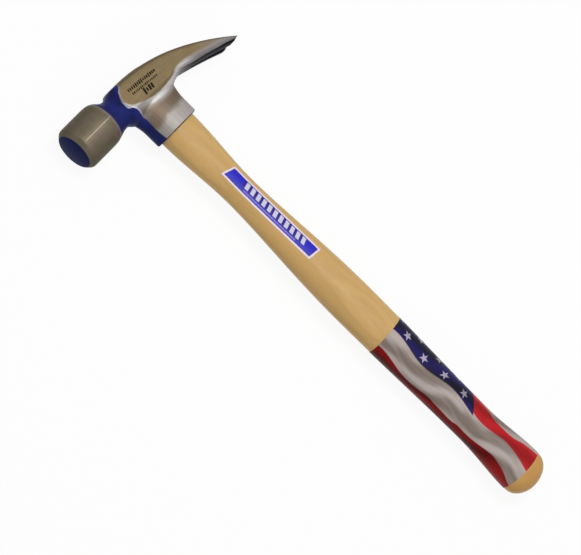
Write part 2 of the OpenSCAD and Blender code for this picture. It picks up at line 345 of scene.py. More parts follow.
class SurfacePlan(Plan):
    """The node tree of a material with one Principled shader."""

    def __init__(self, name: str, datum: Datum) -> None:
        """Start a material and measure places on it in the hammer's own millimetres."""
        self.material = bpy.data.materials.new(name)
        self.material.use_nodes = True
        super().__init__(self.material.node_tree)
        self.tree.nodes.clear()
        place = Wire(self, self.node("ShaderNodeTexCoord").outputs["Object"])
        scale = 1 / MM
        mapping = self.node(
            "ShaderNodeMapping",
            None,
            {
                "Vector": place,
                "Location": (-datum.x * scale, -datum.y * scale, -datum.z * scale),
                "Scale": (scale, scale, scale),
            },
        )
        self.place = Wire(self, mapping.outputs[0])
        self.x, self.y, self.z = self.parts(self.place)

    def grain(self, grain: Grain, place: Wire | None = None) -> Term:
        """Give the noise of a grain over the surface, or at another place."""
        sockets = {"Vector": place or self.place, "Scale": (grain.x, grain.y, grain.z)}
        scaled = Wire(self, self.node("ShaderNodeMapping", None, sockets).outputs[0])
        return self.noise(scaled, grain.detail, grain.roughness)

    def wash(self, tone: object, value: Term, wash: Wash) -> Wire:
        """Lay a wash over a colour where the value calls for it."""
        cover = self.smooth(value, wash.start, wash.end)
        return self.mix(cover * wash.share if wash.share < 1 else cover, tone, wash.color)

    def along(self, share: Term, span: Span) -> Term:
        """Give the number at a share of the way along a span."""
        return share * (span[1] - span[0]) + span[0]

    def within(self, value: Term, low: float, high: float, rise: float, fall: float | None = None) -> Term:
        """Give 1 where the value lies between two soft edges.

        Args:
            value: The value.
            low: Where the lower edge starts.
            high: Where the upper edge ends.
            rise: Width of the lower edge.
            fall: Width of the upper edge, if it is another one.

        Returns:
            The mask.
        """
        fall = rise if fall is None else fall
        return self.smooth(value, low, low + rise) * self.smooth(-value, -high, fall - high)

    def finish(self, sockets: Mapping[str, object], height: Term, depth: float) -> bpy.types.Material:
        """Close the material with its shader.

        Args:
            sockets: Values or wires for the shader's inputs.
            height: Relief of the surface, in shares of depth.
            depth: Depth of the relief in millimetres.

        Returns:
            The material.
        """
        shader = self.node("ShaderNodeBsdfPrincipled", None, sockets)
        relief = {"Strength": 1.0, "Distance": depth * MM, "Height": height}
        bump = self.node("ShaderNodeBump", None, relief)
        self.tree.links.new(bump.outputs[0], shader.inputs["Normal"])
        output = self.node("ShaderNodeOutputMaterial")
        self.tree.links.new(shader.outputs[0], output.inputs["Surface"])
        return self.material


class FormPlan(Plan):
    """A Geometry Nodes tree with named sizes as inputs."""

    def __init__(self, name: str, sizes: Mapping[str, float | int]) -> None:
        """Open the tree.

        Args:
            name: The tree's name.
            sizes: Each input's name and value; whole numbers are counts.
        """
        super().__init__(bpy.data.node_groups.new(name, "GeometryNodeTree"))
        self.sizes = dict(sizes)
        self.tree.interface.new_socket("Geometry", in_out="OUTPUT", socket_type="NodeSocketGeometry")
        for label, value in sizes.items():
            kind = "NodeSocketInt" if isinstance(value, int) else "NodeSocketFloat"
            self.tree.interface.new_socket(label, in_out="INPUT", socket_type=kind)
        self.inlet = self.node("NodeGroupInput")

    def size(self, label: str) -> Term:
        """Give the input of that name."""
        return Term(self, self.inlet.outputs[label])

    def grid(self, rows: str, columns: str) -> tuple[Wire, Term, Term]:
        """Lay a square grid.

        Args:
            rows: Name of the input that counts the points one way.
            columns: Name of the input that counts them the other way.

        Returns:
            The grid and the shares of the way along it and across it.
        """
        grid = self.node(
            "GeometryNodeMeshGrid",
            None,
            {"Size X": 1.0, "Size Y": 1.0, "Vertices X": self.size(rows), "Vertices Y": self.size(columns)},
        )
        x, y, _ = self.parts(Wire(self, self.node("GeometryNodeInputPosition").outputs[0]))
        return Wire(self, grid.outputs[0]), x + 0.5, y + 0.5

    def moved(self, geometry: Wire, place: Wire) -> Wire:
        """Move every point to its place."""
        node = self.node("GeometryNodeSetPosition", None, {"Geometry": geometry, "Position": place})
        return Wire(self, node.outputs[0])

    def welded(self, geometry: Wire, reach: float) -> Wire:
        """Join points that lie within reach of each other."""
        node = self.node("GeometryNodeMergeByDistance", None, {"Geometry": geometry, "Distance": reach})
        return Wire(self, node.outputs[0])

    def grown(self, name: str, geometry: Wire, material: bpy.types.Material) -> bpy.types.Object:
        """Close the tree and turn its result into a plain mesh object.

        Args:
            name: The object's name.
            geometry: What the tree makes.
            material: The finish of every face.

        Returns:
            The object, with no modifier left on it.
        """
        real = Wire(self, self.node("GeometryNodeRealizeInstances", None, {0: geometry}).outputs[0])
        smooth = Wire(self, self.node("GeometryNodeSetShadeSmooth", None, {0: real}).outputs[0])
        dressed = self.node("GeometryNodeSetMaterial", None, {"Geometry": smooth, "Material": material})
        outlet = self.node("NodeGroupOutput")
        self.tree.links.new(dressed.outputs[0], outlet.inputs[0])
        holder = linked(name, bpy.data.meshes.new(name))
        modifier = holder.modifiers.new("form", "NODES")
        modifier.node_group = self.tree
        for item in self.tree.interface.items_tree:
            if item.in_out == "INPUT":
                modifier[item.identifier] = self.sizes[item.name]
        made = holder.evaluated_get(bpy.context.evaluated_depsgraph_get())
        mesh = bpy.data.meshes.new_from_object(made)
        holder.modifiers.remove(modifier)
        holder.data = mesh
        mesh.name = name
        return holder


@dataclass(frozen=True)
class HandleShape:
    """Sizes of the handle, and the rule that its oval sections follow."""

    head_rise: float = 12.6
    collar_depth: float = 39.2
    seat_long: float = 30.6
    waist_long: float = 24.2
    belly_long: float = 33.1
    grip_long: float = 29.4
    butt_long: float = 35.2
    waist_place: float = 114.5
    belly_place: float = 226.0
    grip_place: float = 345.0
    butt_place: float = 394.0
    overall_length: float = 407.0
    waist_lead: float = 0.85
    width_share: float = 0.76
    oval_power: float = 2.2

    def sizes(self) -> dict[str, float]:
        """Give every size under the name that a tree's input has."""
        return {
            "Seat length": self.seat_long,
            "Waist length": self.waist_long,
            "Belly length": self.belly_long,
            "Grip length": self.grip_long,
            "Butt length": self.butt_long,
            "Seat place": -self.collar_depth,
            "Waist place": self.head_rise - self.waist_place,
            "Belly place": self.head_rise - self.belly_place,
            "Grip place": self.head_rise - self.grip_place,
            "Dome place": self.head_rise - self.butt_place,
            "Butt place": self.head_rise - self.overall_length,
            "Waist lead": self.waist_lead,
            "Width share": self.width_share,
            "Oval power": self.oval_power,
        }

    def half(self, plan: FormPlan, y: Term) -> Term:
        """Give half the long side of the section at a place along the handle."""

        def way(start: str, end: str) -> Term:
            """Give the share of the way between two places, held within its ends."""
            share = (y - plan.size(start)) / (plan.size(end) - plan.size(start))
            return plan.least(plan.most(share, 0.0), 1.0)

        def ease(share: Term) -> Term:
            """Start and end level."""
            return (1 - plan.math("COSINE", share * math.pi)) / 2

        seat, waist, belly, grip, butt = (
            plan.size(f"{name} length") for name in ("Seat", "Waist", "Belly", "Grip", "Butt")
        )
        long = (
            seat
            + (waist - seat) * ease(way("Seat place", "Waist place"))
            + (belly - waist) * ease(way("Waist place", "Belly place") ** plan.size("Waist lead"))
            + (grip - belly) * ease(way("Belly place", "Grip place"))
            + (butt - grip) * ease(way("Grip place", "Dome place"))
        )
        return long / 2

    def ring(self, plan: FormPlan, half: Term, turn: Term, grow: Number = 0.0) -> tuple[Term, Term]:
        """Give x and z on an oval section.

        Args:
            plan: The tree.
            half: Half the section's long side.
            turn: Angle from straight up towards the claws, in radians.
            grow: How far outside the wood the point lies.

        Returns:
            The two places in millimetres.
        """

        def swell(share: Term) -> Term:
            """Bend a circle's coordinate to the oval's."""
            return plan.math("SIGN", share) * abs(share) ** (2 / plan.size("Oval power"))

        wide = half * plan.size("Width share")
        x = (half + grow) * swell(plan.math("SINE", turn))
        z = (wide + grow) * swell(plan.math("COSINE", turn))
        return x, z

    def place(self, plan: FormPlan, datum: Datum, x: Term, y: Term, z: Term) -> Wire:
        """Carry a point from the hammer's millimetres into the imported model."""
        return plan.vector(x * MM + datum.x, y * MM + datum.y, z * MM + datum.z)


@dataclass(frozen=True)
class ForgedSteel:
    """Finish of the head: bare forged steel with ground cheeks and blue paint on the neck and the face.

    Borders, shadow and crest are lines through places on the head, in millimetres. A start is the
    stretch over which a zone fades in, and a share is how far its colour covers what lies below.
    Light and shade are painted into the colour: shade under the claws, in the nail slot, along the
    crown, on the bell's flanks and at the collar's lower rim, highlights along the bell, on the cheek's
    lower band and at the paint border, and reflections on the collar.
    """

    bell: Color = paint(110, 100, 84)
    # painted shade: the bell darkens towards its flanks
    bell_flank_shade: Wash = Wash(paint(84, 76, 60), 4.0, 18.0)
    bell_green: Wash = Wash(paint(92, 92, 76), 0.5, 0.66, 0.55)
    bell_mauve: Wash = Wash(paint(112, 98, 96), 0.52, 0.68, 0.45)
    heel_band: Color = paint(132, 124, 120)
    # painted highlight line along the bell
    bell_highlight: Color = paint(176, 160, 140)
    cheek_dark: Color = paint(108, 93, 68)
    cheek_light: Wash = Wash(paint(124, 108, 80), 0.3, 0.7)
    # painted shade along the crown's rounding
    crown_shade: Wash = Wash(paint(86, 78, 60), -3.2, 0.2, 0.5)
    claw_grey: Wash = Wash(paint(122, 115, 112), 44.0, 72.0, 0.85)
    claw_edge: Wash = Wash(paint(95, 92, 93), 20.0, 46.0)
    # the cheek's lower band: polished steel, partly a painted highlight
    band_polish_and_highlight: Color = paint(194, 192, 192)
    collar: Color = paint(144, 139, 134)
    # painted reflections on the collar, a light one and a dark brown one
    collar_light_reflection: Wash = Wash(paint(170, 163, 159), -8.0, 12.0)
    collar_dark_reflection: Color = paint(112, 98, 84)
    # painted shade along the collar's lower rim
    rim: Wash = Wash(paint(60, 52, 46), 38.3, 38.8)
    # painted highlight along the rear border of the blue paint
    paint_border_highlight: Color = paint(178, 174, 192)
    blue_dark: Color = paint(34, 38, 88)
    blue_light: Wash = Wash(paint(38, 44, 110), 0.35, 0.65)
    face_blue: Color = paint(8, 22, 74)
    mark: Color = paint(38, 32, 24)
    # painted shade under the claws and inside the nail slot
    painted_shade: Color = paint(22, 20, 28)

    blotch: Grain = Grain(0.09, 0.09, 0.09, 3.0, 0.55)
    brushed: Grain = Grain(0.1, 2.2, 2.2, 4.0, 0.6)
    turned: Grain = Grain(2.4, 0.05, 0.05, 3.0, 0.6)
    scale: Grain = Grain(0.7, 0.7, 0.7, 4.0, 0.6)
    tint: Grain = Grain(0.13, 0.13, 0.13)
    wander: Grain = Grain(0.35, 0.35, 0.35)

    blue_border: Points = (
        (-40.0, -14.6), (-31.0, -15.6), (-20.0, -15.7), (-14.9, -16.7), (-10.6, -17.5), (-6.9, -19.2),
        (-4.6, -22.1), (-0.7, -22.2), (4.9, -20.5), (10.7, -15.8), (14.0, -14.0),
    )
    cheek_border: Points = (
        (-24.0, 3.0), (-21.0, -1.1), (-18.5, -5.0), (-13.4, -7.8), (-7.3, -10.0), (0.6, -11.9),
        (7.3, -12.3), (14.7, -11.7), (19.5, -11.1), (26.0, -9.2), (32.3, -9.0), (42.0, -10.9),
        (55.5, -14.8), (65.0, -17.6), (78.0, -23.0),
    )
    claw_shadow: Points = (
        (20.0, -12.2), (28.3, -13.0), (36.1, -13.9), (45.1, -15.6), (52.8, -17.5), (60.4, -19.5),
        (67.6, -21.3), (78.0, -25.2),
    )
    cheek_crest: Points = (
        (-20.0, 10.2), (-8.0, 10.1), (4.0, 8.8), (16.0, 6.6), (28.0, 3.6), (40.0, -1.5), (52.0, -6.4),
        (64.0, -13.2), (70.0, -17.3),
    )

    bell_start: Span = (35.5, 36.1)
    flank_blotch: float = 5.0
    flank_turned: float = 4.0
    line_angle: float = -0.8
    line_spread: Span = (-2.5, -0.25)
    line_start: Span = (-64.5, -61.0)
    line_share: Span = (0.35, 0.75)
    heel_start: Span = (-38.9, -36.9)
    heel_share: Span = (0.35, 0.65)

    cheek_flat: float = 14.8
    cheek_brushed: float = 0.6
    cheek_wander: float = 0.72
    cheek_blur: Span = (0.7, 1.8)
    claw_start: Span = (20.0, 27.0)
    crest_waver: float = 1.5
    band_foot: Span = (-4.8, -2.6)
    band_side: Span = (9.0, 13.0)
    band_start: Span = (-12.0, 0.0)
    band_share: Span = (0.1, 0.92)

    brown_start: Span = (-29.5, -24.0)
    brown_gap: Span = (3.0, 8.0)
    brown_waver: float = 9.0
    brown_front: Span = (0.0, 14.0)
    brown_drop: float = 3.5
    steel_cover_share: Span = (0.85, 1.0)
    patch_start: Span = (0.5, 0.9)
    patch_share: float = 0.5

    shadow_blur: Span = (-0.5, 0.5)
    inner_side: Span = (-13.9, -12.7)
    inner_share: float = 0.85
    below_start: Span = (16.0, 42.0)
    slot_start: Span = (40.5, 41.5)
    slot_half: float = 1.0
    slot_spread: float = 0.124
    slot_blur: Span = (-0.5, -0.1)

    mark_deep: Span = (0.06, 0.16)
    mark_side: Span = (13.0, 13.5)
    mark_x: Span = (-15.0, 14.2)
    mark_x_rims: Span = (0.5, 0.4)
    mark_y: Span = (-8.8, 5.8)
    mark_y_rim: float = 0.4

    neck_start: Span = (-36.2, -35.7)
    face_start: Span = (67.3, 67.75)
    paint_wander: float = 0.6
    paint_blur: Span = (-0.35, 0.35)
    edge_gap: Span = (-1.4, 1.8)
    edge_rims: Span = (0.8, 1.2)
    edge_side: Span = (8.0, 12.0)
    edge_foot: Span = (-20.0, -13.0)
    edge_top: Span = (-3.0, 4.5)
    edge_share: Span = (0.2, 0.85)

    metal: float = 0.35
    bare_rough: Span = (0.4, 0.52)
    ground_rough: float = 0.04
    paint_rough: Span = (0.3, 0.38)
    gloss: float = 0.02
    brushed_relief: float = 0.5
    turned_relief: float = 0.3
    scale_relief: float = 0.25
    paint_relief: float = 0.6
    relief_depth: float = 0.03

    def bell_tone(self, plan: SurfacePlan, blotch: Term, turned: Term) -> Wire:
        """Give the bell's colour: mottled steel with painted shade on its flanks, a painted highlight line
        along it and a pale heel.

        Args:
            plan: The material.
            blotch: The wide noise.
            turned: The noise of the turned rings.

        Returns:
            The colour.
        """
        # painted shade on the bell's flanks
        flank = abs(plan.y) + (blotch - 0.5) * self.flank_blotch + (turned - 0.5) * self.flank_turned
        tone = plan.wash(self.bell, flank, self.bell_flank_shade)
        tint = plan.grain(self.tint)
        tone = plan.wash(tone, tint, self.bell_green)
        tone = plan.wash(tone, 1 - tint, self.bell_mauve)
        # painted highlight: a thin light line along the bell's top
        angle = plan.math("ARCTAN2", plan.y, plan.z) * (360 / TURN) - self.line_angle
        line = plan.smooth(-abs(angle), *self.line_spread) * plan.smooth(plan.x, *self.line_start)
        tone = plan.mix(line * plan.along(turned, self.line_share), tone, self.bell_highlight)
        heel = plan.smooth(plan.x, *self.heel_start) * plan.along(blotch, self.heel_share)
        return plan.mix(heel, tone, self.heel_band)

    def cheek_tone(self, plan: SurfacePlan, blotch: Term, brushed: Term) -> Wire:
        """Give the ground cheek's colour, greyer on the claws, with painted shade along the crown.

        Args:
            plan: The material.
            blotch: The wide noise.
            brushed: The noise of the grinding marks.

        Returns:
            The colour.
        """
        ground = brushed * self.cheek_brushed + blotch * (1 - self.cheek_brushed)
        tone = plan.wash(self.cheek_dark, ground, self.cheek_light)
        tone = plan.wash(tone, plan.x, self.claw_grey)
        # painted shade along the crown
        crest = plan.curve(plan.x, self.cheek_crest) + (blotch - 0.5) * self.crest_waver
        return plan.wash(tone, plan.y - crest, self.crown_shade)

    def collar_tone(self, plan: SurfacePlan, blotch: Term, scale: Term, lower: Term) -> Wire:
        """Give the colour below the cheeks: pale steel with painted reflections and painted shade at the
        rim.

        Args:
            plan: The material.
            blotch: The wide noise.
            scale: The fine noise.
            lower: Height of the cheek's lower border.

        Returns:
            The colour.
        """
        # painted dark brown reflection on the collar below the cheek band, with lighter patches
        front = plan.smooth(-plan.x, *self.brown_front)
        height = plan.y + (blotch - 0.5) * self.brown_waver + front * self.brown_drop
        brown = plan.smooth(height, *self.brown_start) * plan.smooth(lower - plan.y, *self.brown_gap)
        lighter_patches = brown * plan.smooth(blotch, *self.patch_start) * self.patch_share
        steel_cover = (1 - brown) * plan.along(scale, self.steel_cover_share) + lighter_patches
        # painted light reflection towards the claws
        tone = plan.wash(self.collar, plan.x, self.collar_light_reflection)
        tone = plan.mix(steel_cover, self.collar_dark_reflection, tone)
        # painted shade along the collar's lower rim
        return plan.wash(tone, -plan.y, self.rim)

    def painted_shade_mask(self, plan: SurfacePlan, side: Term, on_cheek: Term) -> Term:
        """Give 1 where shade is painted: under the claws and in the nail slot.

        Args:
            plan: The material.
            side: Distance from the middle plane.
            on_cheek: 1 on the ground cheeks.

        Returns:
            The mask.
        """
        shadow = plan.smooth(plan.curve(plan.x, self.claw_shadow) - plan.y, *self.shadow_blur)
        shadow = plan.most(shadow, plan.smooth(-side, *self.inner_side) * self.inner_share)
        below = plan.smooth(plan.x, *self.below_start) * (1 - on_cheek) * shadow
        half = (plan.x - self.slot_start[1]) * self.slot_spread + self.slot_half
        in_slot = plan.smooth(plan.x, *self.slot_start) * plan.smooth(half - side, *self.slot_blur)
        return plan.most(below, in_slot)

    def material(self, datum: Datum) -> bpy.types.Material:
        """Build the material."""
        plan = SurfacePlan("forged_steel", datum)
        x, y, z = plan.x, plan.y, plan.z
        side = abs(z)
        blotch, brushed, turned, scale, wander = (
            plan.grain(grain) for grain in (self.blotch, self.brushed, self.turned, self.scale, self.wander)
        )

        lower = plan.curve(x, self.cheek_border) + (wander - 0.5) * self.cheek_wander
        blur = plan.along(plan.smooth(x, *self.claw_start), self.cheek_blur)
        on_cheek = plan.smooth(y - lower, -blur, blur)
        on_band = plan.smooth(y - lower, *self.band_foot) * plan.smooth(side, *self.band_side)
        on_band = on_band * (1 - on_cheek)
        # mask of the painted shade under the claws and in the nail slot
        dark = self.painted_shade_mask(plan, side, on_cheek)
        collar = self.collar_tone(plan, blotch, scale, lower)
        tone = plan.mix(on_cheek, collar, self.cheek_tone(plan, blotch, brushed))
        # lighter band along the cheek's lower edge, polished and partly a painted highlight; darker on the
        # claws
        band = on_band * plan.along(plan.smooth(x, *self.band_start), self.band_share)
        tone = plan.mix(band, tone, plan.wash(self.band_polish_and_highlight, x, self.claw_edge))
        # paint the shade under the claws and in the nail slot
        tone = plan.mix(dark, tone, self.painted_shade)
        tone = plan.mix(plan.smooth(-x, *self.bell_start), tone, self.bell_tone(plan, blotch, turned))

        in_mark = plan.smooth(self.cheek_flat - side, *self.mark_deep) * plan.smooth(z, *self.mark_side)
        in_mark = in_mark * plan.within(x, *self.mark_x, *self.mark_x_rims)
        tone = plan.mix(in_mark * plan.within(y, *self.mark_y, self.mark_y_rim), tone, self.mark)

        gap = x - plan.curve(y, self.blue_border) - (wander - 0.5) * self.paint_wander
        # painted highlight: a pale line along the paint border
        edge = plan.within(gap, *self.edge_gap, *self.edge_rims) * plan.smooth(side, *self.edge_side)
        edge = edge * plan.smooth(y, *self.edge_foot)
        edge = edge * plan.along(plan.smooth(-y, *self.edge_top), self.edge_share)
        tone = plan.mix(edge, tone, self.paint_border_highlight)
        on_neck = plan.smooth(x, *self.neck_start) * plan.smooth(-gap, *self.paint_blur)
        on_face = plan.smooth(-x, *self.face_start)
        tone = plan.mix(on_neck, tone, plan.wash(self.blue_dark, blotch, self.blue_light))
        tone = plan.mix(on_face, tone, self.face_blue)

        painted = plan.most(on_neck, on_face)
        bare = 1 - painted
        rough = plan.along(scale, self.bare_rough) + (on_cheek - on_band) * self.ground_rough
        relief = (brushed * self.brushed_relief + turned * self.turned_relief) * bare
        return plan.finish(
            {
                "Base Color": tone,
                "Metallic": bare * (1 - dark) * self.metal,
                "Roughness": rough * bare + painted * plan.along(scale, self.paint_rough),
                "Specular IOR Level": self.gloss,
            },
            relief + painted * self.paint_relief + scale * self.scale_relief,
            self.relief_depth,
        )


@dataclass(frozen=True)
class Hickory:
    """Finish of the handle: pale straight-grained wood under clear lacquer."""

    middle: Color = paint(201, 162, 101)
    light: Wash = Wash(paint(209, 171, 110), 0.3, 0.7)
    dark: Color = paint(166, 130, 77)
    fine_dark: Wash = Wash(dark, 0.5, 0.75, 0.2)
    butt: Color = paint(192, 140, 74)
    end_grain: Wash = Wash(paint(128, 96, 60), -0.8, -0.4, 0.8)

    drift: Grain = Grain(0.03, 0.006, 0.03)
    fine: Grain = Grain(1.5, 0.03, 1.5, 3.0, 0.6)
    blotch: Grain = Grain(0.05, 0.012, 0.05, 3.0, 0.55)
    pores: Grain = Grain(3.2, 0.11, 3.2, 2.0, 0.7)

    heart_x: float = 46.0
    heart_z: float = -90.0
    drift_reach: float = 26.0
    ring_pitch: float = 3.4
    ring_waver: float = 0.35
    late_wood: Span = (0.45, 1.0)
    late_rims: Span = (0.5, 0.06)
    late_share: float = 0.2
    pore_span: Span = (0.6, 0.72)
    pore_share: float = 0.3
    butt_start: Span = (377.0, 383.0)
    butt_share: Span = (0.45, 0.85)
    head_rise: float = HandleShape.head_rise
    claw_fall: float = 35.8
    claw_reach: float = 77.8
    cheek_reach: float = 18.0
    claw_power: float = 2.12
    rough: float = 0.42
    pore_rough: float = 0.2
    fine_rough: float = 0.1
    coat: float = 0.06
    coat_rough: float = 0.25
    gloss: float = 0.15
    pore_relief: float = 0.7
    late_relief: float = 0.2
    relief_depth: float = 0.04

    def top_line(self, plan: SurfacePlan) -> Term:
        """Give the height of the head's top line, where the tenon ends."""
        way = plan.most((plan.x + self.cheek_reach) / (self.cheek_reach + self.claw_reach), 0.0)
        return self.head_rise - way**self.claw_power * self.claw_fall

    def material(self, datum: Datum) -> bpy.types.Material:
        """Build the material."""
        plan = SurfacePlan("hickory", datum)
        drift, fine, blotch, pores = (
            plan.grain(grain) for grain in (self.drift, self.fine, self.blotch, self.pores)
        )
        across_x = plan.x - self.heart_x
        across_z = plan.z - self.heart_z
        reach = (across_x * across_x + across_z * across_z) ** 0.5 + drift * self.drift_reach
        ring = (reach / self.ring_pitch + fine * self.ring_waver) % 1.0
        late = plan.within(ring, *self.late_wood, *self.late_rims)
        pore = plan.smooth(pores, *self.pore_span)
        tone = plan.wash(self.middle, blotch, self.light)
        tone = plan.mix(late * self.late_share, tone, self.dark)
        tone = plan.wash(tone, fine, self.fine_dark)
        tone = plan.mix(pore * self.pore_share, tone, self.dark)
        on_butt = plan.smooth(-plan.y, *self.butt_start)
        tone = plan.mix(on_butt * plan.along(blotch, self.butt_share), tone, self.butt)
        tone = plan.wash(tone, plan.y - self.top_line(plan), self.end_grain)
        return plan.finish(
            {
                "Base Color": tone,
                "Roughness": self.rough + pore * self.pore_rough + (fine - 0.5) * self.fine_rough,
                "Coat Weight": self.coat,
                "Coat Roughness": self.coat_rough,
                "Specular IOR Level": self.gloss,
            },
            1 - pore * self.pore_relief - late * self.late_relief,
            self.relief_depth,
        )


@dataclass(frozen=True)
class WedgeWood:
    """Finish of the wooden wedge: darker wood, bare end grain."""

    dark: Color = paint(78, 54, 32)
    light: Wash = Wash(paint(104, 72, 40), 0.35, 0.65)
    grain: Grain = Grain(0.5, 0.1, 1.6)
    rough: Span = (0.55, 0.75)
    relief_depth: float = 0.06

    def material(self, datum: Datum) -> bpy.types.Material:
        """Build the material."""
        plan = SurfacePlan("wedge_wood", datum)
        grain = plan.grain(self.grain)
        tone = plan.wash(self.dark, grain, self.light)
        return plan.finish(
            {"Base Color": tone, "Roughness": plan.along(grain, self.rough)}, grain, self.relief_depth
        )


@dataclass(frozen=True)
class WedgeSteel:
    """Finish of the steel wedges: bare mild steel with a few hammer marks."""

    dark: Color = paint(92, 88, 82)
    light: Wash = Wash(paint(150, 150, 150), 0.35, 0.65)
    scale: Grain = Grain(0.8, 0.8, 0.8, 4.0, 0.6)
    metal: float = 0.85
    rough: Span = (0.38, 0.58)
    relief_depth: float = 0.05

    def material(self, datum: Datum) -> bpy.types.Material:
        """Build the material."""
        plan = SurfacePlan("wedge_steel", datum)
        scale = plan.grain(self.scale)
        tone = plan.wash(self.dark, scale, self.light)
        return plan.finish(
            {"Base Color": tone, "Metallic": self.metal, "Roughness": plan.along(scale, self.rough)},
            scale,
            self.relief_depth,
        )


@dataclass(frozen=True)
class LabelPrint:
    """Finish of the label: a blue field in a white border, with plain slanted bars and a row of dashes."""

    long: float = 84.2
    wide: float = 11.8
    top: float = -84.1
    shift: float = 0.8
    slant: float = 3.7
    foot_slant: float = 1.5
    border: float = 1.25
    line: float = 0.45
    blur: float = 0.25
    blue: Color = paint(46, 44, 190)
    outline: Color = paint(56, 36, 112)
    white: Color = paint(232, 218, 234)
    bar: Color = paint(206, 206, 228)
    dash: Color = paint(140, 132, 215)
    bars: Span = (14.0, 73.4)
    bar_pitch: float = 5.4
    bar_gap: float = 1.9
    bar_rims: Span = (0.4, 0.3)
    bar_tall: Span = (-1.5, 4.0)
    bar_middle: float = 1.2
    bar_lean: float = 0.45
    shade_tall: Span = (-2.1, 4.4)
    shade_share: float = 0.75
    rim: float = 0.3
    dashes: Span = (18.0, 68.0)
    dash_tall: Span = (-3.6, -2.5)
    dash_rim: float = 0.2
    dash_pitch: float = 2.6
    dash_gap: Span = (0.7, 0.9)
    dash_share: Span = (0.55, 0.9)
    speck: Grain = Grain(1.6, 1.6, 1.6, 3.0)
    rough: Span = (0.3, 0.4)
    gloss: float = 0.12
    relief_depth: float = 0.01

    def material(self, datum: Datum) -> bpy.types.Material:
        """Build the material."""
        plan = SurfacePlan("label_print", datum)
        across = plan.x - self.shift
        down = self.top - plan.y
        slant = self.slant + (self.foot_slant - self.slant) * (down / self.long)
        along = down - slant * (across / self.wide)
        edge = plan.least(along, self.long - along, self.wide / 2 - abs(across))
        inner = self.border + self.line
        tone = plan.mix(plan.smooth(edge, self.border, self.border + self.blur), self.white, self.outline)
        tone = plan.mix(plan.smooth(edge, inner, inner + self.blur), tone, self.blue)

        lean = along + (across - self.bar_middle) * self.bar_lean
        run = plan.within(lean, *self.bars, self.rim)
        shade = run * plan.within(across, *self.shade_tall, self.rim)
        tone = plan.mix(shade * self.shade_share, tone, self.outline)
        phase = (lean - self.bars[0]) % self.bar_pitch
        bar = run * plan.within(across, *self.bar_tall, self.rim)
        bar = bar * plan.within(phase, self.bar_gap, self.bar_pitch, *self.bar_rims)
        tone = plan.mix(bar, tone, self.bar)
        dashes = plan.along(plan.smooth(along % self.dash_pitch, *self.dash_gap), self.dash_share)
        dashes = dashes * plan.within(along, *self.dashes, self.rim)
        dashes = dashes * plan.within(across, *self.dash_tall, self.dash_rim)
        tone = plan.mix(dashes, tone, self.dash)

        speck = plan.grain(self.speck)
        return plan.finish(
            {
                "Base Color": tone,
                "Roughness": plan.along(speck, self.rough),
                "Specular IOR Level": self.gloss,
            },
            speck,
            self.relief_depth,
        )


